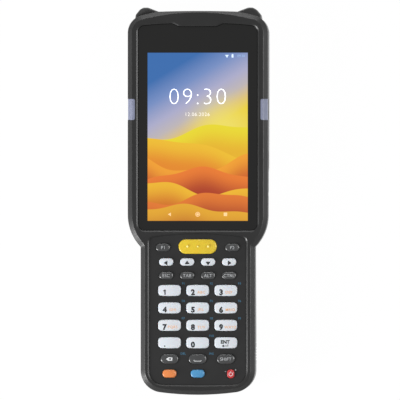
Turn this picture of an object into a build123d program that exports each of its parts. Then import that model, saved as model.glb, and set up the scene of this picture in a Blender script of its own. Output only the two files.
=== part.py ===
from build123d import *
import os

# A handheld barcode data terminal of the straight, brick-shaped kind, lying on its back.
# +X is to the user's right, +Y runs towards the scanning end and +Z comes out of the screen.
# The origin is in the middle of the footprint, on the surface that the terminal lies on.
# All sizes are in millimetres.

os.makedirs("parts", exist_ok=True)

# ---- Driving dimensions -------------------------------------------------------------------
LENGTH = 202.2              # bottom end to the tips of the scanning end's bumpers
HEAD_WIDTH = 73.2           # across the display head
GRIP_WIDTH = 59.7           # across the keypad grip
DEPTH = 34.5                # back to the crown of the keys

Y_END = -LENGTH / 2         # bottom end of the grip
Y_TIP = LENGTH / 2          # tips of the bumpers
HEAD_HALF = HEAD_WIDTH / 2
GRIP_HALF = GRIP_WIDTH / 2

FACE_Z = 34.1               # front face of the casing
PART_Z = 20.0               # parting plane between the two housings
WALL = 2.0                  # side walls of the casing
ROOF_Z = 31.0               # inside of the front wall
FIT = 0.1                   # gap between pieces that are fitted together
RUN = 0.15                  # gap round a piece that moves in an opening

# ---- Plan of the casing -------------------------------------------------------------------
HEAD_ARCH_Y = 100.7         # crest of the arch that the bevel round the head's end follows
HEAD_SHOULDER_Y = 94.9      # where that arch would meet the sides
HEAD_CORNER = 9.5
HEAD_TOP_Y = 99.2           # crest of the flatter end that cuts the arch off between the bumpers
HEAD_TOP_R = 620.0          # radius of that end
NECK_CORNER = 24.0          # the big round corner that narrows the head to the grip
HEAD_BOTTOM_Y = -31.2       # lower side of the head's plan, hidden inside the grip's
NECK_HOLLOW = 1.0           # small hollow where head and grip meet
GRIP_ARCH = 3.05            # rise of the bottom end's arch
GRIP_CORNER = 11.5
BEVEL = 2.3                 # bevel round the front face
BEVEL_ROUND = 0.5           # rounding of its edges
LIP_WIDTH = 0.7             # the small slope of the lips round touch panel and keypad plate
LIP_DEPTH = 0.45

# ---- Front face ---------------------------------------------------------------------------
PANEL_HALF = 31.2           # touch panel
PANEL_LOW_Y = -15.3
PANEL_HIGH_Y = 92.9
PANEL_CORNER = 3.5
PANEL_TOP_Z = 33.5
PANEL_THICK = 1.1
NOTCH_HALF = 9.7            # tongue of the frame that dips into the panel's top edge
NOTCH_Y = 91.05
DISPLAY_Y = 33.55
DISPLAY_WIDTH = 54.8
DISPLAY_HEIGHT = 92.0
KEYPAD_HALF = 25.3          # keypad plate
KEYPAD_LOW_Y = -95.4
KEYPAD_HIGH_Y = -17.1
KEYPAD_TOP_Z = 33.2
KEYPAD_THICK = 1.1
LEDGE = 1.2                 # rim of the housing under panel and keypad plate

# ---- Keys ---------------------------------------------------------------------------------
KEY_TOP_Z = DEPTH
KEY_TRAVEL = 0.8
KEY_FLANGE = 0.5            # rim under the keypad plate that keeps the key in
KEY_FLANGE_TOP_Z = KEYPAD_TOP_Z - KEYPAD_THICK - FIT
KEY_FLANGE_LOW_Z = KEY_FLANGE_TOP_Z - 0.7
KEY_EDGE = 0.7              # rounding of a key's top edge
NUMBER_PITCH_X = 14.7
NUMBER_PITCH_Y = 9.1
NUMBER_KEY = (11.8, 5.8, 1.8, 34.0)     # width, height, corner radius and crown radius
NUMBER_ROW_Y = -46.6        # row of 1, 2 and 3
ARROW_PITCH_X = 10.95
DOME_HEIGHT = 0.55
PLUNGER_LOW_Z = 28.45

# rows: names, places across, place along, width, height, corner radius and crown radius
THREE = [-NUMBER_PITCH_X, 0.0, NUMBER_PITCH_X]
FOUR = [ARROW_PITCH_X * step for step in (-1.5, -0.5, 0.5, 1.5)]
KEY_ROWS = [
    (["key_p1", "key_p2"], [-18.1, 18.1], -24.2, 7.5, 4.0, 1.9, 14.0),
    (["key_scan"], [0.0], -23.7, 20.0, 7.5, 3.7, 60.0),
    (["key_left", "key_up", "key_down", "key_right"], FOUR, -31.75, 7.4, 3.8, 1.8, 14.0),
    (["key_esc", "key_tab", "key_alt", "key_ctrl"], FOUR, -38.85, 7.4, 3.9, 1.8, 14.0),
    (["key_1", "key_2", "key_3"], THREE, NUMBER_ROW_Y, *NUMBER_KEY),
    (["key_4", "key_5", "key_6"], THREE, NUMBER_ROW_Y - NUMBER_PITCH_Y, *NUMBER_KEY),
    (["key_7", "key_8", "key_9"], THREE, NUMBER_ROW_Y - 2 * NUMBER_PITCH_Y, *NUMBER_KEY),
    (["key_point", "key_0", "key_enter"], THREE, NUMBER_ROW_Y - 3 * NUMBER_PITCH_Y, *NUMBER_KEY),
    (["key_backspace", "key_space", "key_shift"], THREE, -82.4, 9.3, 5.0, 2.4, 20.0),
    (["key_orange", "key_blue"], THREE[:2], -90.0, 7.2, 4.1, 1.9, 14.0),
    (["key_power"], [17.3], -90.1, 3.8, 4.6, 1.6, 12.0),
]

# ---- Back of the casing: height of the back along Y, for the head's hump and the grip -------
HEAD_BACK = [(103.0, 9.0), (98.0, 5.0), (94.0, 2.4), (90.0, 0.8), (84.0, -0.3), (60.0, -0.4), (42.0, -0.3),
             (32.0, 0.5), (22.0, 2.4), (12.0, 5.4), (2.0, 9.2), (-8.0, 12.4), (-18.0, 14.8), (-26.0, 16.2)]
GRIP_BACK = [(14.0, 8.2), (0.0, 7.4), (-15.0, 6.6), (-35.0, 5.2), (-50.0, 2.9), (-62.0, 0.8),
             (-72.0, -0.25), (-84.0, -0.25), (-91.0, 0.8), (-97.0, 3.2), (-101.5, 6.8)]
HEAD_ROUND = (9.0, 8.5)     # width and height of the head's rounded back corners
GRIP_ROUND = (12.5, 10.5)   # the same for the grip
BACK_SPARE = 0.1            # how far the back's sections pass the plan, which trims them

# ---- Battery pack and its bay ---------------------------------------------------------------
BAY_HALF = 25.1
BAY_LOW_Y = -92.9
BAY_HIGH_Y = 5.1
BAY_CORNER = 3.0
BAY_FLOOR_Z = 21.3
TRAY_Z = 22.7               # top of the bay's tray, which carries the main board
BAY_WALL = 1.6
PACK_GAP = 0.2
PACK_TOP_Z = 21.0
PACK_SPLIT_Z = 15.0
PACK_WALL = 1.6
CELL_LOW_Z = 10.4
CELL_HIGH_Z = 19.6
CELL_OUTER_X = 21.5
LATCH_Y = -80.0
LATCH_LENGTH = 11.6
LATCH_TRAVEL = 1.4
LATCH_TOP_Z = 14.5
LATCH_STEM_HALF = 4.0

# ---- Scanning end ---------------------------------------------------------------------------
CAP_Y = 93.2                # inner face of the end cap
CAP_TOP_Z = 27.9
WINDOW_HALF = 17.5
WINDOW_LOW_Z = 9.0
WINDOW_HIGH_Z = 22.6
WINDOW_Y = 95.7
WINDOW_THICK = 1.6
WINDOW_LIP = 1.8

# ---- Light pipes and side buttons -----------------------------------------------------------
PIPE_LOW_Y = 42.3
PIPE_HIGH_Y = 53.3
PIPE_INNER_X = 32.8
PIPE_LOW_Z = 22.0
BUTTON_Z = 15.2
SCAN_BUTTON_Y = 14.0
SCAN_BUTTON_SIZE = (20.0, 6.2)
ROCKER_Y = 39.5
ROCKER_SIZE = (18.0, 5.6)
BUTTON_FACE_X = HEAD_HALF - 0.1
ROCKER_AXIS_X = 34.0        # upright axis that the rocker tips about
SIDE_RECESS = 0.8           # depth of the shallow dish round the side buttons
SIDE_RIM = 1.2              # how much longer and taller the rim behind the wall is
SWITCH_X = 32.0             # face of the boards behind the side buttons

# ---- Inside ---------------------------------------------------------------------------------
BOARD_THICK = 1.2
SHIELD_TOP_Z = 25.9
CHASSIS_TOP_Z = 27.2
KEY_BOARD_Z = 25.8
KEY_BOARD_TOP_Z = KEY_BOARD_Z + BOARD_THICK
MAT_TOP_Z = KEY_BOARD_TOP_Z + 1.0
COLLAR_TOP_Z = KEY_FLANGE_LOW_Z - KEY_TRAVEL - 0.1
SCREW_PLACES = [(29.6, 84.0), (31.8, -2.0), (17.5, -96.85)]   # mirrored to the left side
SCREW_SEAT_Z = 17.6
SCREW_HEAD_R = 2.1
SCREW_SHANK_R = 1.0
SCREW_TIP_Z = 27.0
FRONT_BOSS_R = 2.4
REAR_BOSS_R = 3.7

# ---- Strap fixings and dock -----------------------------------------------------------------
STRAP_Y = 26.0
STRAP_HALF = 12.4
STRAP_REACH = 8.5
STRAP_FLOOR_Z = 10.6
STRAP_BAR_Z = 3.6
STRAP_BAR_R = 1.5
CLIP_SLOT = (7.0, -95.1, 8.6, 13.2)     # half width, inner end, low and high of the lower slot
DOCK = (10.9, -95.0, 14.4, 19.2)        # the same four for the dock connector
DOCK_CONTACTS = 10

BEZIER = 0.5523             # handle length that makes a cubic a quarter ellipse


# ---- Small helpers --------------------------------------------------------------------------
def slab(plan, low, high):
    """The plan, drawn at z 0, as a solid from low to high."""
    return extrude(Pos(0, 0, low) * plan, amount=high - low)


def block(x, y, z):
    """A box from its three (low, high) pairs."""
    centre = Pos((x[0] + x[1]) / 2, (y[0] + y[1]) / 2, (z[0] + z[1]) / 2)
    return centre * Box(x[1] - x[0], y[1] - y[0], z[1] - z[0])


def rounded_block(x, y, z, radius):
    """A box whose upright edges are rounded."""
    plan = RectangleRounded(x[1] - x[0], y[1] - y[0], radius)
    return slab(Pos((x[0] + x[1]) / 2, (y[0] + y[1]) / 2) * plan, z[0], z[1])


def post(x, y, radius, low, high):
    """An upright cylinder."""
    return Pos(x, y, (low + high) / 2) * Cylinder(radius, high - low)


def level_edges(solid, z):
    """The edges of a solid that lie at height z."""
    return [
        edge for edge in solid.edges()
        if abs(edge.bounding_box().min.Z - z) < 1e-3 and abs(edge.bounding_box().max.Z - z) < 1e-3
    ]


def quarter(start, corner, end):
    """A quarter ellipse from start to end that leaves both towards corner."""
    start, corner, end = Vector(*start), Vector(*corner), Vector(*end)
    return Bezier(start, start + (corner - start) * BEZIER, end + (corner - end) * BEZIER, end)


def side_oval(x, y, z, length, height, depth):
    """A slot-shaped bar that runs along Y, reaching from x towards +X by depth."""
    return Pos(x, y, z) * extrude(Plane.YZ * SlotOverall(length, height), amount=depth)


def mirrored(solid):
    """The same piece on the other side of the terminal."""
    return solid.mirror(Plane.YZ)


def one(shape):
    """The single solid of a shape."""
    return shape.solids()[0]


# ---- Plans ----------------------------------------------------------------------------------
def head_plan():
    """Plan of the display head: straight sides, an arched end and two big lower corners."""
    with BuildSketch() as sketch:
        with BuildLine():
            ThreePointArc((-HEAD_HALF, HEAD_SHOULDER_Y), (0, HEAD_ARCH_Y), (HEAD_HALF, HEAD_SHOULDER_Y))
            Polyline((HEAD_HALF, HEAD_SHOULDER_Y), (HEAD_HALF, HEAD_BOTTOM_Y),
                     (-HEAD_HALF, HEAD_BOTTOM_Y), (-HEAD_HALF, HEAD_SHOULDER_Y))
        make_face()
        fillet(sketch.vertices().filter_by(lambda corner: corner.Y < 0), NECK_CORNER)
        fillet(sketch.vertices().filter_by(lambda corner: corner.Y > HEAD_SHOULDER_Y - 1), HEAD_CORNER)
    return sketch.sketch


def grip_plan():
    """Plan of the keypad grip, which runs up into the head."""
    shoulder = Y_END + GRIP_ARCH
    with BuildSketch() as sketch:
        with BuildLine():
            ThreePointArc((-GRIP_HALF, shoulder), (0, Y_END), (GRIP_HALF, shoulder))
            Polyline((GRIP_HALF, shoulder), (GRIP_HALF, 0), (-GRIP_HALF, 0), (-GRIP_HALF, shoulder))
        make_face()
        fillet(sketch.vertices().filter_by(lambda corner: corner.Y < -50), GRIP_CORNER)
    return sketch.sketch


def full_plan():
    """Plan of head and grip together, with a small hollow at each side of the neck."""
    plan = (head_plan() + grip_plan()).faces()[0]
    neck = [
        corner for corner in plan.vertices()
        if abs(abs(corner.X) - GRIP_HALF) < 0.1 and -30 < corner.Y < -20
    ]
    return plan.fillet_2d(NECK_HOLLOW, neck)


def end_cut():
    """What the flatter end takes off the head's arch, drawn from above."""
    half = HEAD_HALF + 4
    low = HEAD_TOP_Y - HEAD_TOP_R + (HEAD_TOP_R ** 2 - half ** 2) ** 0.5
    with BuildSketch() as sketch:
        with BuildLine():
            ThreePointArc((-half, low), (0, HEAD_TOP_Y), (half, low))
            Polyline((half, low), (half, Y_TIP + 4), (-half, Y_TIP + 4), (-half, low))
        make_face()
    return sketch.sketch


FULL_PLAN = full_plan()
PLAN = (FULL_PLAN - end_cut()).faces()[0]


def inset_plan(distance):
    """The casing's plan drawn in by a distance."""
    return offset(PLAN, amount=-distance)


def panel_plan(grow=0.0):
    """Plan of the touch panel: round corners, an arched top and a notch for the frame's tongue."""
    arch_end = (NOTCH_HALF + 3.5, PANEL_HIGH_Y - 0.3)
    shoulder = (PANEL_HALF, PANEL_HIGH_Y - 1.6)
    middle = (22.5, PANEL_HIGH_Y - 0.75)
    with BuildSketch() as sketch:
        with BuildLine():
            Polyline((-shoulder[0], shoulder[1]), (-PANEL_HALF, PANEL_LOW_Y), (PANEL_HALF, PANEL_LOW_Y), shoulder)
            ThreePointArc(shoulder, middle, arch_end)
            Polyline(arch_end, (NOTCH_HALF, NOTCH_Y), (-NOTCH_HALF, NOTCH_Y), (-arch_end[0], arch_end[1]))
            ThreePointArc((-arch_end[0], arch_end[1]), (-middle[0], middle[1]), (-shoulder[0], shoulder[1]))
        make_face()
        fillet(sketch.vertices().filter_by(lambda corner: abs(corner.X) > PANEL_HALF - 0.1), PANEL_CORNER)
        fillet(sketch.vertices().filter_by(lambda corner: abs(corner.X) < NOTCH_HALF + 4), 2.0)
    return offset(sketch.sketch, amount=grow) if grow else sketch.sketch


def keypad_plan(grow=0.0):
    """Plan of the keypad plate: an arched top and larger corners at the bottom."""
    high, low = KEYPAD_HIGH_Y - 2.1, KEYPAD_LOW_Y
    with BuildSketch() as sketch:
        with BuildLine():
            ThreePointArc((-KEYPAD_HALF, high), (0, KEYPAD_HIGH_Y), (KEYPAD_HALF, high))
            Line((KEYPAD_HALF, high), (KEYPAD_HALF, low))
            ThreePointArc((KEYPAD_HALF, low), (0, low - 0.6), (-KEYPAD_HALF, low))
            Line((-KEYPAD_HALF, low), (-KEYPAD_HALF, high))
        make_face()
        fillet(sketch.vertices().filter_by(lambda corner: corner.Y > -50), 2.6)
        fillet(sketch.vertices().filter_by(lambda corner: corner.Y < -50), 7.0)
    return offset(sketch.sketch, amount=grow) if grow else sketch.sketch


def key_plan(width, height, corner, grow=0.0):
    """Plan of a keycap: a rounded rectangle whose long sides bow out a little."""
    bow = 0.25 if (width, height) == NUMBER_KEY[:2] else 0.0
    half, side = width / 2, height / 2 - bow
    if not bow:
        plan = RectangleRounded(width, height, corner)
        return offset(plan, amount=grow) if grow else plan
    with BuildSketch() as sketch:
        with BuildLine():
            ThreePointArc((-half, side), (0, side + bow), (half, side))
            Line((half, side), (half, -side))
            ThreePointArc((half, -side), (0, -side - bow), (-half, -side))
            Line((-half, -side), (-half, side))
        make_face()
        fillet(sketch.vertices(), corner)
    return offset(sketch.sketch, amount=grow) if grow else sketch.sketch


# ---- The casing's outer forms ---------------------------------------------------------------
def front_form():
    """Outer form of the front housing: the plan raised to the front face, with a bevel all round it.

    The bevel follows the head's full arch, so the flatter end cuts into it and leaves it narrow there.
    """
    blank = one(slab(FULL_PLAN, PART_Z, FACE_Z))
    blank = blank.chamfer(BEVEL, None, level_edges(blank, FACE_Z))
    blank = one(blank - slab(end_cut(), PART_Z - 1, FACE_Z + 1))
    return blank.fillet(BEVEL_ROUND, level_edges(blank, FACE_Z) + level_edges(blank, FACE_Z - BEVEL))


def back_section(y, half, back, corner, top, inset):
    """Section of the back across the terminal at y: upright sides, rounded corners, a flat back."""
    half, back = half + BACK_SPARE - inset, back + inset
    wide, high = corner[0] - inset / 2, min(corner[1] - inset / 2, PART_Z - back - 1)
    edges = [
        *Polyline((-half, y, back + high), (-half, y, top), (half, y, top), (half, y, back + high)).edges(),
        *quarter((half, y, back + high), (half, y, back), (half - wide, y, back)).edges(),
        *Line((half - wide, y, back), (wide - half, y, back)).edges(),
        *quarter((wide - half, y, back), (-half, y, back), (-half, y, back + high)).edges(),
    ]
    return Face(Wire(edges))


def back_loft(stations, half, corner, top=PART_Z, inset=0.0):
    """A solid through the sections of one part of the back."""
    return loft([back_section(y, half, back, corner, top, inset) for y, back in stations])


def back_form(top=PART_Z, inset=0.0):
    """Outer form of the back of the casing up to a height, cut level where it lies on a surface."""
    head = back_loft(HEAD_BACK, HEAD_HALF, HEAD_ROUND, top, inset)
    grip = back_loft(GRIP_BACK, GRIP_HALF, GRIP_ROUND, top, inset)
    return one((head + grip) & slab(inset_plan(inset) if inset else PLAN, 0, top))


# ---- Front housing --------------------------------------------------------------------------
def front_housing(form):
    """The front shell, with seats for touch panel and keypad plate and bosses for the case screws."""
    shell = form - slab(inset_plan(WALL), PART_Z - 1, ROOF_Z)
    for x, y in SCREW_PLACES:
        for side in (x, -x):
            boss = post(side, y, FRONT_BOSS_R, PART_Z, ROOF_Z + 0.5)
            shell += boss & form
            shell -= post(side, y, SCREW_SHANK_R + 0.05, PART_Z - 1, SCREW_TIP_Z + 0.5)
    # Four ribs that the chassis plate is held down by.
    for side in (-1, 1):
        for y in (14.0, 66.0):
            shell += block(sorted((side * 29.0, side * (HEAD_HALF - WALL + 0.2))), (y - 2, y + 2),
                           (CHASSIS_TOP_Z, ROOF_Z + 0.5))
    panel_seat = slab(panel_plan(FIT), PANEL_TOP_Z - PANEL_THICK, FACE_Z + 1)
    display_hole = rounded_block((-28.4, 28.4), (DISPLAY_Y - 46.4, DISPLAY_Y + 46.4), (PART_Z, FACE_Z), 1.2)
    keypad_seat = slab(keypad_plan(FIT), KEYPAD_TOP_Z - KEYPAD_THICK, FACE_Z + 1)
    keypad_hole = slab(keypad_plan(-LEDGE), PART_Z, FACE_Z)
    shell = shell - panel_seat - display_hole - keypad_seat - keypad_hole
    # The lips round both seats slope down a little.
    shell = one(shell)
    front = [face for face in shell.faces() if face.bounding_box().min.Z > FACE_Z - 1e-3][0]
    lips = [edge for wire in front.inner_wires() for edge in wire.edges()]
    shell = shell.chamfer(LIP_WIDTH, LIP_DEPTH, lips, front)
    shell -= block((-HEAD_WIDTH, HEAD_WIDTH), (CAP_Y - FIT, Y_TIP), (PART_Z - 1, CAP_TOP_Z + FIT))
    notch = pipe_block(0.05)
    shell = shell - notch - mirrored(notch)
    return one(shell - seal_ring(0.05))


def pipe_block(grow):
    """The rectangular hole that a light pipe fills, on the right side."""
    return rounded_block((PIPE_INNER_X - grow, HEAD_HALF + 1), (PIPE_LOW_Y - grow, PIPE_HIGH_Y + grow),
                         (PIPE_LOW_Z - grow, FACE_Z + 1), 0.9)


def light_pipe(form):
    """A clear bar let into the edge of the head, a hair below its surface."""
    return one(pipe_block(0.0) & (Pos(-0.15, 0, -0.08) * form))


def seal_ring(grow):
    """The cord seal that lies in both housings' rims, open towards the end cap."""
    ring = slab(inset_plan(0.6 - grow), PART_Z - 0.45 - grow, PART_Z + 0.45 + grow)
    ring -= slab(inset_plan(1.4 + grow), PART_Z - 1, PART_Z + 1)
    return ring - block((-HEAD_WIDTH, HEAD_WIDTH), (CAP_Y - 1.2 + grow, Y_TIP), (PART_Z - 2, PART_Z + 2))


# ---- Rear housing ---------------------------------------------------------------------------
def bay(gap, low, high):
    """The battery bay, or with a gap the room of the pack in it."""
    return rounded_block((-BAY_HALF + gap, BAY_HALF - gap), (BAY_LOW_Y + gap, BAY_HIGH_Y - gap), (low, high),
                         BAY_CORNER)


def latch_notch():
    """Room in the right-hand rail for the latch, open to the back so that the pack lifts out."""
    half = LATCH_LENGTH / 2 + 0.3
    return block((BAY_HALF - 0.5, GRIP_HALF + 1), (LATCH_Y - half, LATCH_Y + half), (-1, LATCH_TOP_Z + 0.3))


def side_opening(y, size, end_gap):
    """Cuts in the right wall for a side button: a shallow dish, the hole and room for the rim."""
    length, height = size
    dish = side_oval(HEAD_HALF - SIDE_RECESS, y, BUTTON_Z, length + 5, height + 2.6, 3)
    hole = side_oval(HEAD_HALF - 4, y, BUTTON_Z, length + 2 * end_gap, height + 2 * RUN, 6)
    room = side_oval(HEAD_HALF - 4, y, BUTTON_Z, length + SIDE_RIM + 1, height + SIDE_RIM + 0.4, 2.2)
    return dish + hole + room


def rear_housing(form, tall_form):
    """The back shell: hump, battery bay and its tray, bosses, strap pocket, dock and button openings."""
    inner = back_loft(HEAD_BACK, HEAD_HALF, HEAD_ROUND, TRAY_Z + 1, WALL)
    cavity = inner & slab(inset_plan(WALL), 0, TRAY_Z + 1)
    cavity &= block((-HEAD_WIDTH, HEAD_WIDTH), (-20.5, Y_TIP), (0, TRAY_Z + 1))
    bay_walls = rounded_block(
        (-BAY_HALF - BAY_WALL, BAY_HALF + BAY_WALL), (BAY_LOW_Y - BAY_WALL, BAY_HIGH_Y + BAY_WALL), (0, TRAY_Z),
        BAY_CORNER + BAY_WALL)
    shell = form - cavity + (bay_walls & tall_form)
    # Posts for the main board and the keypad board, and the seat of the loudspeaker.
    for x, y in [(20.0, 62.0), (20.0, 87.0)]:
        for side in (x, -x):
            shell += post(side, y, 1.8, 0.2, TRAY_Z)
    for y in (-24.0, -58.0, -88.0):
        for x in (-18.0, 18.0):
            shell += post(x, y, 1.6, TRAY_Z - 0.2, KEY_BOARD_Z)
    shell += block((-12, 12), (42, 60), (0.2, 2.2))
    # Walls that carry the side switch boards.
    shell += block((-31.4, -30.2), (6, 51), (0, 19)) & tall_form
    shell += block((30.2, 31.4), (6, 24), (0, 19)) & tall_form
    # Screw bosses.
    for x, y in SCREW_PLACES:
        for side in (x, -x):
            shell += post(side, y, REAR_BOSS_R, 0, PART_Z) & form
    # Strap pocket, sunk into the hump.
    reach = STRAP_REACH + WALL
    shell += block((-STRAP_HALF - 2.2, STRAP_HALF + 2.2), (STRAP_Y - reach, STRAP_Y + reach),
                   (0, STRAP_FLOOR_Z + 1.6)) & form
    shell -= rounded_block((-STRAP_HALF, STRAP_HALF), (STRAP_Y - STRAP_REACH, STRAP_Y + STRAP_REACH),
                           (-1, STRAP_FLOOR_Z), 2.0)
    shell -= strap_bar_form(0.03)
    # Everything that is cut away.
    shell -= bay(0, -1, BAY_FLOOR_Z)
    shell -= block((-7.1, 7.1), (-6.1, -0.9), (BAY_FLOOR_Z - 1, TRAY_Z + 1))
    shell -= block((-HEAD_WIDTH, HEAD_WIDTH), (CAP_Y - FIT, Y_TIP + 1), (-1, TRAY_Z + 2))
    shell = shell - latch_notch() - mirrored(latch_notch())
    scan_opening = side_opening(SCAN_BUTTON_Y, SCAN_BUTTON_SIZE, RUN)
    shell = shell - scan_opening - mirrored(scan_opening)
    shell -= mirrored(side_opening(ROCKER_Y, ROCKER_SIZE, 0.35))
    for x, y in SCREW_PLACES:
        for side in (x, -x):
            shell -= post(side, y, SCREW_HEAD_R + 0.25, -1, SCREW_SEAT_Z)
            shell -= post(side, y, SCREW_SHANK_R + 0.15, -1, TRAY_Z)
    for step in range(-2, 3):
        shell -= Pos(0, 51 + 2.8 * step, 1) * extrude(SlotOverall(14, 1.4), amount=4, both=True)
    half, inner_y, low, high = CLIP_SLOT
    shell -= block((-half, half), (Y_END - 1, inner_y), (low, high))
    half, inner_y, low, high = DOCK
    shell -= block((-half - 0.05, half + 0.05), (Y_END - 1, inner_y), (low - 0.05, high + 0.05))
    # A shallow field on the hump where such terminals carry their data plate.
    shell -= rounded_block((-24, 24), (66, 82), (-1, 0.4), 2.0)
    return one(shell - seal_ring(0.05))


def strap_bar_form(grow):
    """The steel bar that a hand strap is looped round."""
    return Pos(0, STRAP_Y, STRAP_BAR_Z) * Rot(0, 90, 0) * Cylinder(STRAP_BAR_R + grow, 2 * (STRAP_HALF + 1.6 + grow))


# ---- Scanning end ---------------------------------------------------------------------------
def window_face(half, low, high, radius):
    """A round-cornered rectangle in the XZ plane, centred on the scan window."""
    plane = Plane(origin=(0, 0, (low + high) / 2), x_dir=(1, 0, 0), z_dir=(0, 1, 0))
    return plane * RectangleRounded(2 * half, high - low, radius)


def window_bar(half, low, high, radius, near, far):
    """That rectangle as a solid from y near to y far."""
    return Pos(0, near, 0) * extrude(window_face(half, low, high, radius), amount=far - near)


def scan_end_cap():
    """The end cap: it closes both housings, frames the scan window and carries two bumpers."""
    with BuildSketch() as sketch:
        add(PLAN)
        for side in (-1, 1):
            ear = [(17.8, 97.9), (26.2, Y_TIP), (28.5, Y_TIP), (30.4, 100.1), (32.6, 97.4), (33.4, 92.0), (17.8, 92.0)]
            with BuildLine():
                Polyline(*[(side * x, y) for x, y in ear], close=True)
            make_face()
        with Locations((0, CAP_Y - 200)):
            Rectangle(200, 400, mode=Mode.SUBTRACT)
    plan = sketch.sketch.faces()[0]
    for x, radius in ((26.2, 3.0), (28.5, 2.0), (30.4, 2.0), (32.6, 2.0)):
        plan = plan.fillet_2d(radius, [corner for corner in plan.vertices() if abs(abs(corner.X) - x) < 0.05])
    tall = back_loft(HEAD_BACK, HEAD_HALF, HEAD_ROUND, CAP_TOP_Z)
    cap = one(slab(plan, 0, CAP_TOP_Z) & tall)
    rims = [edge for edge in level_edges(cap, CAP_TOP_Z) if edge.center().Y > CAP_Y + 0.5]
    cap = cap.chamfer(0.6, None, rims)
    # Two tongues that slide inside the housings' walls.
    tongue = (slab(inset_plan(WALL + 0.25), 9, CAP_TOP_Z - 2.5) - slab(inset_plan(WALL + 1.6), 8, CAP_TOP_Z))
    cap += tongue & block((-HEAD_HALF, HEAD_HALF), (CAP_Y - 1.8, CAP_Y + 0.2), (0, CAP_TOP_Z))
    lip = WINDOW_LIP
    cap -= window_bar(WINDOW_HALF, WINDOW_LOW_Z, WINDOW_HIGH_Z, 2.5, CAP_Y - 3, Y_TIP + 1)
    cap -= window_bar(WINDOW_HALF + lip, WINDOW_LOW_Z - lip, WINDOW_HIGH_Z + lip, 3.2, WINDOW_Y - 0.05, Y_TIP + 1)
    return one(cap)


def scan_window():
    """The dark window that the scanner looks through."""
    grow = WINDOW_LIP - 0.1
    return window_bar(WINDOW_HALF + grow, WINDOW_LOW_Z - grow, WINDOW_HIGH_Z + grow, 3.1, WINDOW_Y,
                      WINDOW_Y + WINDOW_THICK)


def scan_engine():
    """The scan engine: a metal block with the camera's lens and two aiming and lighting openings."""
    engine = block((-13, 13), (70, 90), (7.4, TRAY_Z))
    engine += Pos(-4.5, 90.6, 15.5) * Rot(90, 0, 0) * Cylinder(4.0, 1.2)
    engine -= Pos(-4.5, 91.0, 15.5) * Rot(90, 0, 0) * Cylinder(2.6, 1.6)
    engine -= block((4, 9.5), (88.6, 91), (16.5, 20.5))
    engine -= block((4, 9.5), (88.6, 91), (10.0, 14.0))
    return engine


# ---- Touch panel, display and chassis --------------------------------------------------------
def touch_panel():
    """The cover glass, its top edge lightly bevelled."""
    panel = one(slab(panel_plan(), PANEL_TOP_Z - PANEL_THICK, PANEL_TOP_Z))
    return panel.chamfer(0.2, None, level_edges(panel, PANEL_TOP_Z))


def display_module():
    """The display: a backlight tray with the panel on it, bonded to the cover glass."""
    half, reach = DISPLAY_WIDTH / 2, DISPLAY_HEIGHT / 2
    step_z = PANEL_TOP_Z - PANEL_THICK - 1.8
    tray = rounded_block((-half, half), (DISPLAY_Y - reach, DISPLAY_Y + reach), (CHASSIS_TOP_Z, step_z), 1.0)
    return tray + block((0.6 - half, half - 0.6), (DISPLAY_Y - reach + 1.2, DISPLAY_Y + reach - 0.6),
                        (step_z, PANEL_TOP_Z - PANEL_THICK))


def chassis_plate():
    """The stiff plate between the display and the main board, with a rim down each side."""
    plate = rounded_block((-30.4, 30.4), (-13.5, 79.5), (SHIELD_TOP_Z, CHASSIS_TOP_Z), 2.0)
    for x in (-31.8, 31.8):
        plate -= post(x, -2, 3.3, SHIELD_TOP_Z - 1, CHASSIS_TOP_Z + 1)
    for side in (-1, 1):
        plate += block(sorted((side * 27.4, side * 28.6)), (6, 76), (SHIELD_TOP_Z - 2.0, SHIELD_TOP_Z))
    return plate


def main_board():
    """The main circuit board, on the tray and the housing's posts."""
    return rounded_block((-26, 26), (-15.5, 90), (TRAY_Z, TRAY_Z + BOARD_THICK), 2.0)


def shield_cans():
    """Three tin cans over the radio, processor and power chips."""
    low = TRAY_Z + BOARD_THICK
    return Compound([
        one(rounded_block((-22, 10), (-10, 18), (low, SHIELD_TOP_Z), 1.0)),
        one(rounded_block((-22, 4), (22, 48), (low, SHIELD_TOP_Z), 1.0)),
        one(rounded_block((8, 22), (24, 60), (low, SHIELD_TOP_Z), 1.0)),
    ])


def case_seal():
    """The cord seal between the housings."""
    return one(seal_ring(0.0))


# ---- Keypad ---------------------------------------------------------------------------------
def keys():
    """Every key as its name, place and plan sizes."""
    for names, places, y, width, height, corner, crown in KEY_ROWS:
        for name, x in zip(names, places):
            yield name, x, y, width, height, corner, crown


def keypad_plate():
    """The plate round the keys."""
    plate = slab(keypad_plan(), KEYPAD_TOP_Z - KEYPAD_THICK, KEYPAD_TOP_Z)
    for name, x, y, width, height, corner, crown in keys():
        hole = slab(key_plan(width, height, corner, RUN), KEYPAD_TOP_Z - 2, KEYPAD_TOP_Z + 1)
        plate -= Pos(x, y, 0) * hole
    return one(plate)


def keycap(name, width, height, corner, crown):
    """A crowned key with its retaining rim and the plunger that works the switch under it."""
    top = KEY_TOP_Z - (0.25 if name == "key_scan" else 0.0)
    plan = key_plan(width, height, corner)
    cap = one(slab(plan, KEY_FLANGE_TOP_Z - 0.1, top) & (Pos(0, 0, top - crown) * Sphere(crown)))
    edges = [edge for edge in cap.edges() if edge.bounding_box().min.Z > KEY_FLANGE_TOP_Z + 0.5]
    cap = cap.fillet(KEY_EDGE, edges)
    cap += slab(key_plan(width, height, corner, KEY_FLANGE), KEY_FLANGE_LOW_Z, KEY_FLANGE_TOP_Z)
    cap += post(0, 0, 1.4, PLUNGER_LOW_Z, KEY_FLANGE_LOW_Z + 0.1)
    if name == "key_scan":
        for x, radius in ((-5.4, 0.75), (0.0, 0.6), (5.4, 0.75)):
            cap += post(x, 0, radius, top - 1, KEY_TOP_Z - 0.06)
    return one(cap)


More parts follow.
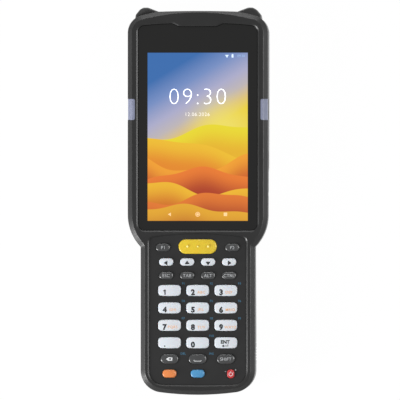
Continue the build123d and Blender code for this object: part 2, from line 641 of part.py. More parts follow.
def keypad_mat():
    """The silicone mat, with a collar round each switch that stops the key."""
    mat = rounded_block((-23.9, 23.9), (-93.0, -19.4), (KEY_BOARD_TOP_Z, MAT_TOP_Z), 3.0)
    for name, x, y, width, height, corner, crown in keys():
        mat += post(x, y, 3.15, MAT_TOP_Z - 0.2, COLLAR_TOP_Z)
    for name, x, y, width, height, corner, crown in keys():
        mat -= post(x, y, 2.5, KEY_BOARD_TOP_Z - 1, COLLAR_TOP_Z + 1)
    return one(mat)


def dome_switches():
    """One metal dome under each key."""
    radius = 2.0
    sphere_radius = (radius ** 2 + DOME_HEIGHT ** 2) / (2 * DOME_HEIGHT)
    centre_z = KEY_BOARD_TOP_Z + DOME_HEIGHT - sphere_radius
    domes = []
    for name, x, y, width, height, corner, crown in keys():
        dome = Pos(x, y, centre_z) * Sphere(sphere_radius)
        domes.append(one(dome & post(x, y, 3, KEY_BOARD_TOP_Z, KEY_BOARD_TOP_Z + 2)))
    return Compound(domes)


def keypad_board():
    """The circuit board under the keys."""
    return rounded_block((-23.9, 23.9), (-93.2, -17.8), (KEY_BOARD_Z, KEY_BOARD_TOP_Z), 3.0)


# ---- Side buttons ---------------------------------------------------------------------------
def scan_button():
    """The right-hand scan button, with its rim behind the wall and its nub."""
    length, height = SCAN_BUTTON_SIZE
    face = one(side_oval(33.8, SCAN_BUTTON_Y, BUTTON_Z, length, height, BUTTON_FACE_X - 33.8))
    outer = [edge for edge in face.edges() if edge.bounding_box().min.X > BUTTON_FACE_X - 0.1]
    face = face.fillet(0.5, outer)
    face += side_oval(33.4, SCAN_BUTTON_Y, BUTTON_Z, length + SIDE_RIM, height + SIDE_RIM, 1.2)
    return face + Pos(33.3, SCAN_BUTTON_Y, BUTTON_Z) * Rot(0, 90, 0) * Cylinder(1.2, 0.5)


def volume_rocker():
    """The left-hand rocker: it tips about its middle and presses one of two nubs."""
    length, height = ROCKER_SIZE
    face = one(side_oval(33.4, ROCKER_Y, BUTTON_Z, length, height, BUTTON_FACE_X - 33.4))
    outer = [edge for edge in face.edges() if edge.bounding_box().min.X > BUTTON_FACE_X - 0.1]
    face = face.fillet(0.5, outer)
    face += side_oval(33.0, ROCKER_Y, BUTTON_Z, length + SIDE_RIM, height + SIDE_RIM, 1.0)
    # A finger groove across the middle tells the two ends apart.
    face -= Pos(BUTTON_FACE_X + 0.9, ROCKER_Y, BUTTON_Z) * Cylinder(1.4, height + 4)
    for y in (-6, 6):
        face += Pos(33.0, ROCKER_Y + y, BUTTON_Z) * Rot(0, 90, 0) * Cylinder(1.0, 0.2)
    # Two short pins above and below the rim, on the axis that it tips about.
    face += Pos(ROCKER_AXIS_X, ROCKER_Y, BUTTON_Z) * Cylinder(0.5, height + SIDE_RIM + 1.2)
    return one(mirrored(face))


def switch_strip(low_y, high_y, domes, top_x):
    """A narrow board on the right side with its switch domes, standing on the housing's wall."""
    strip = block((31.4, SWITCH_X), (low_y, high_y), (12.2, 18.4))
    for y in domes:
        strip += Pos((SWITCH_X + top_x) / 2, y, BUTTON_Z) * Rot(0, 90, 0) * Cylinder(1.6, top_x - SWITCH_X)
    return one(strip)


def side_switches():
    """The switch boards behind the side buttons."""
    right = switch_strip(7, 23, (SCAN_BUTTON_Y,), 32.4)
    left = switch_strip(7, 50, (SCAN_BUTTON_Y, ROCKER_Y - 6, ROCKER_Y + 6), 32.4)
    return Compound([right, one(mirrored(left))])


# ---- Battery pack ---------------------------------------------------------------------------
def latch_tunnel():
    """The opening in the pack's right wall for the latch's stem."""
    half = LATCH_STEM_HALF + RUN
    return block((19, BAY_HALF + 1), (LATCH_Y - half, LATCH_Y + half), (9.05, 13.15))


def battery_shell(form):
    """The pack's outer shell, whose back is the back of the grip."""
    shell = form & bay(PACK_GAP, 0, PACK_SPLIT_Z)
    inner = back_loft(GRIP_BACK, GRIP_HALF, GRIP_ROUND, PART_Z, PACK_WALL)
    shell -= inner & bay(PACK_GAP + PACK_WALL, 0, PACK_SPLIT_Z + 1)
    return one(shell - latch_tunnel() - mirrored(latch_tunnel()))


def battery_lid():
    """The pack's inner half, which closes it towards the terminal."""
    lid = bay(PACK_GAP, PACK_SPLIT_Z, PACK_TOP_Z)
    return one(lid - bay(PACK_GAP + PACK_WALL, PACK_SPLIT_Z - 1, CELL_HIGH_Z))


def battery_cells():
    """Two flat lithium cells side by side."""
    cell = one(rounded_block((0.4, CELL_OUTER_X), (-71.5, 2.8), (CELL_LOW_Z, CELL_HIGH_Z), 2.0))
    return Compound([cell, mirrored(cell)])


def battery_connector():
    """The contact block that meets the pack through the tray."""
    connector = block((-7, 7), (-6, -1), (BAY_FLOOR_Z, TRAY_Z))
    for step in range(4):
        connector += block((-5.9 + 3.6 * step, -4.9 + 3.6 * step), (-5, -2), (PACK_TOP_Z + 0.05, BAY_FLOOR_Z + 0.1))
    return connector


def battery_latch(form):
    """The right-hand squeeze latch: a ribbed finger pad in the rail and a stem into the pack."""
    half = LATCH_LENGTH / 2
    pad = form & block((26.5, GRIP_HALF + 1), (LATCH_Y - half, LATCH_Y + half), (0, LATCH_TOP_Z))
    for step in (-3, -1.5, 0, 1.5, 3):
        pad -= block((GRIP_HALF - 0.4, GRIP_HALF + 1), (LATCH_Y + step - 0.35, LATCH_Y + step + 0.35), (0, 20))
    stem = block((20, 27), (LATCH_Y - LATCH_STEM_HALF, LATCH_Y + LATCH_STEM_HALF), (9.2, 13.0))
    return one(pad + stem)


# ---- Fasteners, speaker and dock ---------------------------------------------------------------
def case_screws():
    """Six screws with star sockets that hold the housings together."""
    screws = []
    for x, y in SCREW_PLACES:
        for side in (x, -x):
            screw = post(side, y, SCREW_HEAD_R, SCREW_SEAT_Z - 1.5, SCREW_SEAT_Z)
            screw += post(side, y, SCREW_SHANK_R, SCREW_SEAT_Z - 0.1, SCREW_TIP_Z)
            socket = extrude(RegularPolygon(1.0, 6), amount=0.9)
            screw -= Pos(side, y, SCREW_SEAT_Z - 1.55) * socket
            screws.append(one(screw))
    return Compound(screws)


def loudspeaker():
    """The loudspeaker behind the slots in the hump."""
    speaker = rounded_block((-10, 10), (43, 59), (2.2, 6.6), 2.0)
    return speaker - rounded_block((-8, 8), (45, 57), (1, 3.0), 2.0)


def dock_connector():
    """The contact strip in the bottom end that meets a cradle."""
    half, inner_y, low, high = DOCK
    face_y = Y_END + 0.8
    connector = block((-half, half), (face_y, inner_y), (low, high))
    pitch = 2 * (half - 1.2) / (DOCK_CONTACTS - 1)
    for step in range(DOCK_CONTACTS):
        x = -half + 1.2 + pitch * step
        connector += block((x - 0.6, x + 0.6), (face_y - 0.15, face_y + 0.1), (low + 1.0, high - 1.0))
    return connector


# ---- Everything ------------------------------------------------------------------------------
def write(name, shape):
    """One node as its own STEP file."""
    export_step(shape, f"parts/{name}.step")


FRONT_FORM = front_form()
BACK_FORM = back_form()
TALL_BACK_FORM = back_form(TRAY_Z)

write("front_housing", front_housing(FRONT_FORM))
write("rear_housing", rear_housing(BACK_FORM, TALL_BACK_FORM))
write("scan_end_cap", scan_end_cap())
write("scan_window", scan_window())
write("scan_engine", scan_engine())
write("touch_panel", touch_panel())
write("display_module", display_module())
write("chassis_plate", chassis_plate())
write("main_board", main_board())
write("shield_cans", shield_cans())
write("case_seal", case_seal())
write("case_screws", case_screws())
write("loudspeaker", loudspeaker())
write("dock_connector", dock_connector())
write("strap_bar", strap_bar_form(0.0))
write("light_pipe_right", light_pipe(FRONT_FORM))
write("light_pipe_left", mirrored(light_pipe(FRONT_FORM)))
write("keypad_plate", keypad_plate())
write("keypad_mat", keypad_mat())
write("keypad_board", keypad_board())
write("dome_switches", dome_switches())
write("scan_button_right", scan_button())
write("scan_button_left", mirrored(scan_button()))
write("volume_rocker", volume_rocker())
write("side_switches", side_switches())
write("battery_shell", battery_shell(BACK_FORM))
write("battery_lid", battery_lid())
write("battery_cells", battery_cells())
write("battery_connector", battery_connector())
write("battery_latch_right", battery_latch(BACK_FORM))
write("battery_latch_left", mirrored(battery_latch(BACK_FORM)))
for name, x, y, width, height, corner, crown in keys():
    write(name, Pos(x, y, 0) * keycap(name, width, height, corner, crown))
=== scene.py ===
# %% [markdown]
# # Dressing a handheld barcode terminal
#
# The terminal's pieces come ready made, in metres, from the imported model: the casing, the keys, the
# battery and everything inside. This lesson gives each of them its finish, prints the keys, draws the
# picture on the display, adds the small trim, and then lights and frames the whole.

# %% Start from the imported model
import math

import bmesh
import bpy
from mathutils import Matrix, Vector
from mathutils.bvhtree import BVHTree


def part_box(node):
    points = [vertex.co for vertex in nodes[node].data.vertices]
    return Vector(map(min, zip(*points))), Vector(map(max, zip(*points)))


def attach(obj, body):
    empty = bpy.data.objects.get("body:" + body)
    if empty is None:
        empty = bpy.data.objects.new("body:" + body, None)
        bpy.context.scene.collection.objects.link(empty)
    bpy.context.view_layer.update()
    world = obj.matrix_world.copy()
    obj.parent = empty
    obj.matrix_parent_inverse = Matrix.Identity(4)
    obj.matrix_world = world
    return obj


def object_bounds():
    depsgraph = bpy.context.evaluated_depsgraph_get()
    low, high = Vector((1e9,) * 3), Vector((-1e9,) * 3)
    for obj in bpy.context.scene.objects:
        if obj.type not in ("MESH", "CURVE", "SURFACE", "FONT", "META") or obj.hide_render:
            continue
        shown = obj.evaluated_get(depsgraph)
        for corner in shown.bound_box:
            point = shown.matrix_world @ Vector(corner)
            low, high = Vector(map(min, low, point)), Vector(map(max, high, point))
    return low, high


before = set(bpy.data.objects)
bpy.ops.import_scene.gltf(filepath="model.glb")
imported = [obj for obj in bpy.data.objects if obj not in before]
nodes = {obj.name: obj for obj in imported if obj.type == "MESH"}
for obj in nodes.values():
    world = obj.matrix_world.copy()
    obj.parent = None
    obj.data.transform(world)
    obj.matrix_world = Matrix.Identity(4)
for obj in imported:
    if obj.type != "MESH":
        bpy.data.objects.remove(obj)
cad_low, cad_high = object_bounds()
MM = 0.001
print("pieces in the model:", len(nodes), "size in mm:", [round(v / MM, 1) for v in cad_high - cad_low])

# %% [markdown]
# ## A few words for building materials
#
# A finish is a small network of nodes. Most of ours share the same steps: take the place of a point on
# the piece, feed it to a noise, and use that noise to vary the colour or to roughen the surface. We
# could repeat those nodes for each finish, but short helpers keep the recipes readable. Places are read
# as object coordinates, in metres, so a grain of a quarter of a millimetre is a noise scale of 4000.

# %% Helpers for node networks
def new_material(name):
    """An empty material with its node tree and its main shader."""
    material = bpy.data.materials.new(name)
    material.use_nodes = True
    tree = material.node_tree
    return material, tree, tree.nodes["Principled BSDF"]


def add_node(tree, kind, **settings):
    """A node of a kind with its settings made."""
    node = tree.nodes.new(kind)
    for key, value in settings.items():
        setattr(node, key, value)
    return node


def feed(tree, socket, value):
    """Puts a number or another node's output into a socket."""
    if hasattr(value, "links"):
        tree.links.new(value, socket)
    else:
        socket.default_value = value


def calc(tree, operation, *values):
    """The output of one sum on numbers or outputs."""
    node = add_node(tree, "ShaderNodeMath", operation=operation)
    for socket, value in zip(node.inputs, values):
        feed(tree, socket, value)
    return node.outputs[0]


def blend_colours(tree, share, first, second):
    """A mix of two colours."""
    node = add_node(tree, "ShaderNodeMix", data_type="RGBA")
    feed(tree, node.inputs["Factor"], share)
    for socket, value in ((node.inputs[6], first), (node.inputs[7], second)):
        feed(tree, socket, value if hasattr(value, "links") else (*value, 1.0))
    return node.outputs[2]


def ease(tree, value, low, high):
    """Rises smoothly from 0 to 1 while the value goes from low to high."""
    node = add_node(tree, "ShaderNodeMapRange", interpolation_type="SMOOTHSTEP")
    for socket, item in zip(node.inputs, (value, low, high, 0.0, 1.0)):
        feed(tree, socket, item)
    return node.outputs[0]


def place(tree):
    """The point's place on the piece."""
    return add_node(tree, "ShaderNodeTexCoord").outputs["Object"]


def noise(tree, scale, detail=2.0, roughness=0.5):
    """A cloudy pattern around 0.5."""
    node = add_node(tree, "ShaderNodeTexNoise")
    tree.links.new(place(tree), node.inputs["Vector"])
    node.inputs["Scale"].default_value = scale
    node.inputs["Detail"].default_value = detail
    node.inputs["Roughness"].default_value = roughness
    return node.outputs["Fac"]


def roughen(tree, shader, height, depth):
    """Raises the surface by a pattern, to a depth in metres."""
    bump = add_node(tree, "ShaderNodeBump")
    bump.inputs["Strength"].default_value = 1.0
    bump.inputs["Distance"].default_value = depth
    tree.links.new(height, bump.inputs["Height"])
    tree.links.new(bump.outputs["Normal"], shader.inputs["Normal"])


print("helpers ready")

# %% [markdown]
# ## Moulded plastics
#
# The casing is moulded in a tough plastic with a spark-eroded grain: a fine, even roughness that keeps
# fingerprints away and gives wide, dull highlights. A cell pattern makes the grain's tiny pits, and a
# much larger noise lets the gloss drift a little, as it does where a tool has worn.

# %% The recipe for moulded plastic
GLOSS_DRIFT = 0.05


def moulded_plastic(name, colour, roughness, grain=0.28 * MM):
    """Plastic with a grain of fine pits and a gloss that drifts a little."""
    material, tree, shader = new_material(name)
    cells = add_node(tree, "ShaderNodeTexVoronoi", feature="SMOOTH_F1")
    tree.links.new(place(tree), cells.inputs["Vector"])
    cells.inputs["Scale"].default_value = 1.0 / grain
    clouds = noise(tree, 55.0, 4.0)
    shade = calc(tree, "MULTIPLY_ADD", clouds, 0.16, 0.92)
    dark = tuple(0.9 * part for part in colour)
    light = tuple(min(1.0, 1.08 * part) for part in colour)
    colours = blend_colours(tree, ease(tree, shade, 0.94, 1.06), dark, light)
    tree.links.new(colours, shader.inputs["Base Color"])
    gloss = calc(tree, "MULTIPLY_ADD", clouds, 2 * GLOSS_DRIFT, roughness - GLOSS_DRIFT)
    tree.links.new(gloss, shader.inputs["Roughness"])
    roughen(tree, shader, cells.outputs["Distance"], 0.003 * MM)
    return material


casing_plastic = moulded_plastic("casing_plastic", (0.0115, 0.0115, 0.0115), 0.39)
# The bumper is lighter than the casing: partly its own rubbery tone, partly painted light that lifts the
# shade the head casts on its ears.
bumper_plastic = moulded_plastic("bumper_plastic", (0.030, 0.030, 0.030), 0.42)
plate_plastic = moulded_plastic("plate_plastic", (0.0095, 0.0095, 0.0097), 0.42, grain=0.2 * MM)
inner_plastic = moulded_plastic("inner_plastic", (0.018, 0.018, 0.019), 0.6)
latch_plastic = moulded_plastic("latch_plastic", (0.05, 0.05, 0.052), 0.5)
print("moulded plastics made")

# %% [markdown]
# ## Key plastics
#
# Keys are moulded in smooth, slightly milky plastic. Light enters it a little before it comes back, so
# a small share of subsurface scattering softens the edges. The dark function keys are glossier: a thin
# clear coat gives them a rim of light.

# %% The recipe for keys
def key_plastic(name, colour, roughness=0.3, glow=0.05, coat=0.0):
    """Smooth moulded plastic that lets a little light in."""
    material, tree, shader = new_material(name)
    clouds = noise(tree, 400.0, 3.0)
    dark = tuple(0.95 * part for part in colour)
    tree.links.new(blend_colours(tree, clouds, dark, colour), shader.inputs["Base Color"])
    shader.inputs["Roughness"].default_value = roughness
    shader.inputs["Subsurface Weight"].default_value = glow
    shader.inputs["Subsurface Scale"].default_value = 0.4 * MM
    shader.inputs["Coat Weight"].default_value = coat
    shader.inputs["Coat Roughness"].default_value = 0.2
    roughen(tree, shader, noise(tree, 2500.0), 0.0015 * MM)
    return material


white_key = key_plastic("white_key", (0.545, 0.574, 0.612))
dark_key = key_plastic("dark_key", (0.038, 0.039, 0.040), roughness=0.28, glow=0.0, coat=0.6)
yellow_key = key_plastic("yellow_key", (0.60, 0.43, 0.025))
orange_key = key_plastic("orange_key", (0.60, 0.19, 0.055))
blue_key = key_plastic("blue_key", (0.06, 0.228, 0.425))
red_key = key_plastic("red_key", (0.43, 0.033, 0.035))
print("key plastics made")

# %% [markdown]
# ## Rubber and clear plastic
#
# The side buttons, the seal and the keypad's mat are rubber: dull, with a soft sheen at grazing angles.
# The light pipes in the head's edges are cloudy clear plastic. They carry light from lamps deep inside
# to the edge, and that glow is painted in as their pale, slightly violet colour.

# %% Rubber and light pipes
def rubber(name, colour, roughness=0.75):
    """Dull rubber with a soft sheen."""
    material, tree, shader = new_material(name)
    clouds = noise(tree, 900.0, 3.0)
    dark = tuple(0.85 * part for part in colour)
    tree.links.new(blend_colours(tree, clouds, dark, colour), shader.inputs["Base Color"])
    shader.inputs["Roughness"].default_value = roughness
    shader.inputs["Sheen Weight"].default_value = 0.15
    roughen(tree, shader, noise(tree, 5000.0), 0.01 * MM)
    return material


def cloudy_clear(name, colour):
    """Frosted clear plastic, lit from within by what it scatters."""
    material, tree, shader = new_material(name)
    clouds = noise(tree, 160.0, 3.0)
    pale = tuple(min(1.0, 1.25 * part) for part in colour)
    tree.links.new(blend_colours(tree, clouds, colour, pale), shader.inputs["Base Color"])
    shader.inputs["Roughness"].default_value = 0.35
    shader.inputs["Subsurface Weight"].default_value = 0.12
    shader.inputs["Subsurface Radius"].default_value = (1.0, 1.0, 1.0)
    shader.inputs["Subsurface Scale"].default_value = 0.8 * MM
    roughen(tree, shader, noise(tree, 1500.0), 0.003 * MM)
    return material


button_rubber = rubber("button_rubber", (0.028, 0.028, 0.03))
seal_rubber = rubber("seal_rubber", (0.02, 0.02, 0.02))
mat_silicone = rubber("mat_silicone", (0.42, 0.42, 0.44), 0.6)
# A pale, slightly violet colour: painted glow for the light the pipes carry from inside.
light_pipe = cloudy_clear("light_pipe", (0.165, 0.178, 0.25))
print("rubber and clear plastic made")

# %% [markdown]
# ## Metals and boards
#
# Screws, strap bar, shields and contacts are metal. Real metal parts this small have been rolled, turned
# or plated, so their roughness runs in fine streaks. The circuit boards wear a green solder mask with
# faint copper tracks under it.

# %% Metals and boards
ALONG_STREAKS, ACROSS_STREAKS = 300.0, 9000.0


def metal(name, colour, roughness):
    """Metal with fine streaks along Y."""
    material, tree, shader = new_material(name)
    stretch = add_node(tree, "ShaderNodeMapping")
    tree.links.new(place(tree), stretch.inputs["Vector"])
    stretch.inputs["Scale"].default_value = (ACROSS_STREAKS, ALONG_STREAKS, ACROSS_STREAKS)
    lines = add_node(tree, "ShaderNodeTexNoise")
    tree.links.new(stretch.outputs["Vector"], lines.inputs["Vector"])
    lines.inputs["Scale"].default_value = 1.0
    dark = tuple(0.8 * part for part in colour)
    tree.links.new(blend_colours(tree, lines.outputs["Fac"], dark, colour), shader.inputs["Base Color"])
    shader.inputs["Metallic"].default_value = 1.0
    gloss = calc(tree, "MULTIPLY_ADD", lines.outputs["Fac"], 0.2, roughness - 0.1)
    tree.links.new(gloss, shader.inputs["Roughness"])
    roughen(tree, shader, lines.outputs["Fac"], 0.003 * MM)
    return material


def solder_mask(name):
    """A green board with faint tracks under its mask."""
    material, tree, shader = new_material(name)
    tracks = add_node(tree, "ShaderNodeTexBrick")
    tree.links.new(place(tree), tracks.inputs["Vector"])
    tracks.inputs["Scale"].default_value = 260.0
    tracks.inputs["Color1"].default_value = (0.01, 0.11, 0.04, 1.0)
    tracks.inputs["Color2"].default_value = (0.012, 0.14, 0.05, 1.0)
    tracks.inputs["Mortar"].default_value = (0.03, 0.22, 0.09, 1.0)
    tree.links.new(tracks.outputs["Color"], shader.inputs["Base Color"])
    shader.inputs["Roughness"].default_value = 0.3
    roughen(tree, shader, tracks.outputs["Fac"], 0.02 * MM)
    return material


steel = metal("steel", (0.42, 0.42, 0.43), 0.35)
black_steel = metal("black_steel", (0.12, 0.12, 0.125), 0.4)
tin = metal("tin", (0.72, 0.72, 0.72), 0.3)
alloy = metal("alloy", (0.6, 0.6, 0.62), 0.45)
gold = metal("gold", (0.83, 0.6, 0.25), 0.25)
cell_wrap = key_plastic("cell_wrap", (0.06, 0.16, 0.34), roughness=0.4)
green_board = solder_mask("green_board")
print("metals and boards made")

# %% [markdown]
# ## The cover glass and the picture under it
#
# The glass is printed black on its inside, except over the display. Seen from outside it is one smooth
# black sheet with a picture in it. The picture could be an image file, but a drawing made of nodes
# stays sharp at any size. Ours is a calm evening: a sky that runs from blue through lilac to gold, and
# rows of rolling hills in gold, orange and red. Every hill is a wave, and a point is on the hill when
# it lies below the wave.

# %% Where the picture is
panel_low, panel_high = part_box("touch_panel")
PICTURE_X = 0.0
PICTURE_Y = 33.55 * MM
PICTURE_HALF_X = 26.15 * MM
PICTURE_HALF_Y = 43.85 * MM
print("glass runs from", round(panel_low.y / MM, 1), "to", round(panel_high.y / MM, 1), "mm")

# %% The hills: base height, two waves as (height, count, shift), crest colour, foot colour
HILLS = [
    (0.06, (0.09, 2.0, 0.4), (0.025, 5.1, 1.0), (0.80, 0.68, 0.02), (0.78, 0.44, 0.015)),
    (-0.14, (0.12, 1.7, 2.7), (0.03, 4.3, 0.3), (0.84, 0.50, 0.02), (0.76, 0.24, 0.012)),
    (-0.32, (0.10, 2.5, 5.0), (0.03, 5.7, 2.2), (0.86, 0.34, 0.02), (0.60, 0.11, 0.012)),
    (-0.47, (0.10, 1.9, 1.4), (0.02, 6.1, 0.9), (0.80, 0.19, 0.02), (0.40, 0.04, 0.008)),
    (-0.60, (0.08, 2.2, 3.9), (0.03, 5.3, 4.0), (0.84, 0.46, 0.02), (0.62, 0.15, 0.008)),
    (-0.73, (0.07, 2.7, 0.5), (0.02, 6.4, 1.5), (0.74, 0.18, 0.02), (0.38, 0.04, 0.008)),
    (-0.86, (0.05, 2.3, 2.4), (0.02, 5.9, 3.0), (0.76, 0.38, 0.02), (0.52, 0.15, 0.01)),
]
print("hills in the picture:", len(HILLS))


# %% Draw the picture with nodes
def evening_picture(tree):
    """The picture's colour, black outside its frame."""
    spot = add_node(tree, "ShaderNodeSeparateXYZ")
    tree.links.new(place(tree), spot.inputs[0])
    across = calc(tree, "MULTIPLY_ADD", spot.outputs["X"], 1 / PICTURE_HALF_X, -PICTURE_X / PICTURE_HALF_X)
    up = calc(tree, "MULTIPLY_ADD", spot.outputs["Y"], 1 / PICTURE_HALF_Y, -PICTURE_Y / PICTURE_HALF_Y)
    sky = add_node(tree, "ShaderNodeValToRGB")
    stops = [(0.0, (0.80, 0.60, 0.02)), (0.14, (0.70, 0.52, 0.19)), (0.29, (0.50, 0.45, 0.46)),
             (0.46, (0.40, 0.40, 0.58)), (0.72, (0.17, 0.26, 0.53)), (0.99, (0.032, 0.14, 0.41))]
    sky.color_ramp.elements[0].position = stops[0][0]
    sky.color_ramp.elements[1].position = stops[-1][0]
    for position, colour in stops[1:-1]:
        sky.color_ramp.elements.new(position)
    for element, (position, colour) in zip(sky.color_ramp.elements, stops):
        element.color = (*colour, 1.0)
    tree.links.new(calc(tree, "MULTIPLY_ADD", across, -0.36, up), sky.inputs["Fac"])
    colour = sky.outputs["Color"]
    # The glow of a sun that has just gone down behind the first hill.
    side = calc(tree, "MULTIPLY_ADD", across, 0.6, -0.3)
    lift = calc(tree, "ADD", up, -0.08)
    squares = calc(tree, "ADD", calc(tree, "POWER", side, 2.0), calc(tree, "POWER", lift, 2.0))
    glow = calc(tree, "MULTIPLY", ease(tree, calc(tree, "SQRT", squares), 0.55, 0.0), 0.75)
    colour = blend_colours(tree, glow, colour, (0.86, 0.76, 0.16))
    for base, first, second, crest, foot in HILLS:
        height = base
        for size, count, shift in (first, second):
            wave = calc(tree, "SINE", calc(tree, "MULTIPLY_ADD", across, count, shift))
            height = calc(tree, "MULTIPLY_ADD", wave, size, height)
        below = calc(tree, "SUBTRACT", height, up)
        hill = blend_colours(tree, ease(tree, below, 0.0, 0.32), crest, foot)
        colour = blend_colours(tree, ease(tree, below, 0.0, 0.008), colour, hill)
    beyond = calc(tree, "MAXIMUM", calc(tree, "ABSOLUTE", across), calc(tree, "ABSOLUTE", up))
    return blend_colours(tree, ease(tree, beyond, 0.998, 1.002), colour, (0.0, 0.0, 0.0))


def display_glass():
    """Black-backed glass with the picture shining through."""
    material, tree, shader = new_material("display_glass")
    shader.inputs["Base Color"].default_value = (0.008, 0.008, 0.0078, 1.0)
    shader.inputs["Roughness"].default_value = 0.06
    shader.inputs["IOR"].default_value = 1.5
    shader.inputs["Emission Strength"].default_value = 1.0
    tree.links.new(evening_picture(tree), shader.inputs["Emission Color"])
    roughen(tree, shader, noise(tree, 20.0), 0.002 * MM)
    return material


cover_glass = display_glass()
print("display drawn")


# %% [markdown]
# ## The scan window
#
# The scanner looks out through a window tinted dark red, which hides its works but lets its light
# through. A glass-like shader with a red tint and a thin reflection does that.

# %% The tinted window
def tinted_window():
    """Dark red see-through plastic."""
    material, tree, shader = new_material("scan_window_tint")
    shader.inputs["Base Color"].default_value = (0.35, 0.02, 0.025, 1.0)
    shader.inputs["Transmission Weight"].default_value = 0.85
    shader.inputs["Roughness"].default_value = 0.03
    shader.inputs["IOR"].default_value = 1.45
    roughen(tree, shader, noise(tree, 40.0), 0.002 * MM)
    return material


window_tint = tinted_window()
print("window tinted")

# %% [markdown]
# ## Giving every piece its finish
#
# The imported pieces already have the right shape, so each only needs its material. A table from finish
# to pieces keeps the choice in one place, and a last look makes sure that no piece was forgotten.

# %% Which piece has which finish
NUMBER_KEYS = [f"key_{mark}" for mark in ("1", "2", "3", "4", "5", "6", "7", "8", "9", "point", "0", "enter")]
ARROW_KEYS = ["key_left", "key_up", "key_down", "key_right"]
DARK_KEYS = ["key_p1", "key_p2", "key_esc", "key_tab", "key_alt", "key_ctrl", "key_backspace", "key_space",
             "key_shift"]
FINISHES = [
    (casing_plastic, ["front_housing", "rear_housing", "battery_shell"]),
    (bumper_plastic, ["scan_end_cap"]),
    (plate_plastic, ["keypad_plate"]),
    (cover_glass, ["touch_panel"]),
    (white_key, NUMBER_KEYS + ARROW_KEYS),
    (dark_key, DARK_KEYS),
    (yellow_key, ["key_scan"]),
    (orange_key, ["key_orange"]),
    (blue_key, ["key_blue"]),
    (red_key, ["key_power"]),
    (light_pipe, ["light_pipe_left", "light_pipe_right"]),
    (window_tint, ["scan_window"]),
    (button_rubber, ["scan_button_left", "scan_button_right", "volume_rocker"]),
    (latch_plastic, ["battery_latch_left", "battery_latch_right"]),
    (inner_plastic, ["battery_lid", "loudspeaker", "dock_connector", "battery_connector", "side_switches"]),
    (seal_rubber, ["case_seal"]),
    (mat_silicone, ["keypad_mat"]),
    (green_board, ["main_board", "keypad_board"]),
    (tin, ["shield_cans", "dome_switches", "display_module"]),
    (alloy, ["chassis_plate"]),
    (black_steel, ["case_screws", "scan_engine"]),
    (steel, ["strap_bar"]),
    (cell_wrap, ["battery_cells"]),
]
dressed = set()
for material, names in FINISHES:
    for name in names:
        nodes[name].data.materials.clear()
        nodes[name].data.materials.append(material)
        dressed.add(name)
print("pieces without a finish:", sorted(set(nodes) - dressed))

# %% [markdown]
# ## Ink
#
# Legends are printed or laser-marked. They are made here as very thin plates, pressed down onto the
# crowned keys, so that they follow each key and travel with it. The inks are dull and flat in colour,
# with a faint unevenness.

# %% The recipe for ink
def ink(name, colour, shine=0.0):
    """Dull ink, for print and for painted highlights. With shine it glows a little, as on a display."""
    material, tree, shader = new_material(name)
    clouds = noise(tree, 3000.0)
    dark = tuple(0.9 * part for part in colour)
    tree.links.new(blend_colours(tree, clouds, dark, colour), shader.inputs["Base Color"])
    shader.inputs["Roughness"].default_value = 0.5
    shader.inputs["Emission Color"].default_value = (*colour, 1.0)
    shader.inputs["Emission Strength"].default_value = shine
    return material


black_ink = ink("black_ink", (0.012, 0.012, 0.014))
orange_ink = ink("orange_ink", (0.68, 0.36, 0.17))
pale_ink = ink("pale_ink", (0.36, 0.37, 0.38))
bright_ink = ink("bright_ink", (0.60, 0.61, 0.62))
# Pale discs for the scan key's raised bumps: painted highlights, not print.
painted_bump_highlight = ink("painted_bump_highlight", (0.86, 0.74, 0.24))
blue_ink = ink("blue_ink", (0.03, 0.12, 0.20))
lit_white = ink("lit_white", (0.85, 0.88, 0.95), shine=0.9)
lit_warm = ink("lit_warm", (0.80, 0.76, 0.70), shine=0.45)
lit_dim = ink("lit_dim", (0.50, 0.60, 0.74), shine=0.45)
lit_faint = ink("lit_faint", (0.22, 0.34, 0.54), shine=0.4)
lit_sand = ink("lit_sand", (0.66, 0.42, 0.20), shine=0.45)
print("inks made")

# %% [markdown]
# ## Pressing a flat mark onto a piece
#
# A mark starts flat, as a text or a few simple plates. Every corner of it is then dropped straight down
# onto the piece that carries it, by casting a ray from above, and raised by a few hundredths of a
# millimetre at most. Long edges are divided first, so that the mark can bend over the crown.

# %% Helpers for marks
LONGEST_EDGE = 0.5 * MM
DIVIDE_ROUNDS = 4
surfaces = {}


def surface(node):
    """What rays can hit: a piece's faces, kept for the next mark on it."""
    if node not in surfaces:
        mesh = nodes[node].data
        surfaces[node] = BVHTree.FromPolygons([vertex.co for vertex in mesh.vertices],
                                              [tuple(face.vertices) for face in mesh.polygons])
    return surfaces[node]


def height_under(node, x, y):
    """How high a piece's top is at a place."""
    hit = surface(node).ray_cast(Vector((x, y, cad_high.z + 0.01)), Vector((0, 0, -1)))[0]
    return hit.z


def press(bm, node, lift):
    """Lays a flat plate that lies at z 0 onto a piece."""
    for _ in range(DIVIDE_ROUNDS):
        long_edges = [edge for edge in bm.edges if edge.calc_length() > LONGEST_EDGE]
        if not long_edges:
            break
        bmesh.ops.subdivide_edges(bm, edges=long_edges, cuts=1)
        bmesh.ops.triangulate(bm, faces=[face for face in bm.faces if len(face.verts) > 4])
    for vert in bm.verts:
        vert.co.z += height_under(node, vert.co.x, vert.co.y) + lift


def finish_piece(bm, name, material, body):
    """Turns a bmesh into a named piece that rides on a body."""
    bmesh.ops.recalc_face_normals(bm, faces=bm.faces)
    mesh = bpy.data.meshes.new(name)
    bm.to_mesh(mesh)
    bm.free()
    mesh.materials.append(material)
    piece = bpy.data.objects.new(name, mesh)
    bpy.context.scene.collection.objects.link(piece)
    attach(piece, body)
    return piece


print("marks can be pressed onto pieces")

# %% [markdown]
# ## Text as geometry
#
# Blender's text object gives clean outlines from its built-in typeface. It is turned into a mesh,
# welded shut, and scaled by the height of the typeface's 0, which its capitals are close to.

# %% Text to bmesh
INK_THICK = 0.008 * MM
TEXT_SIZE = 1.0


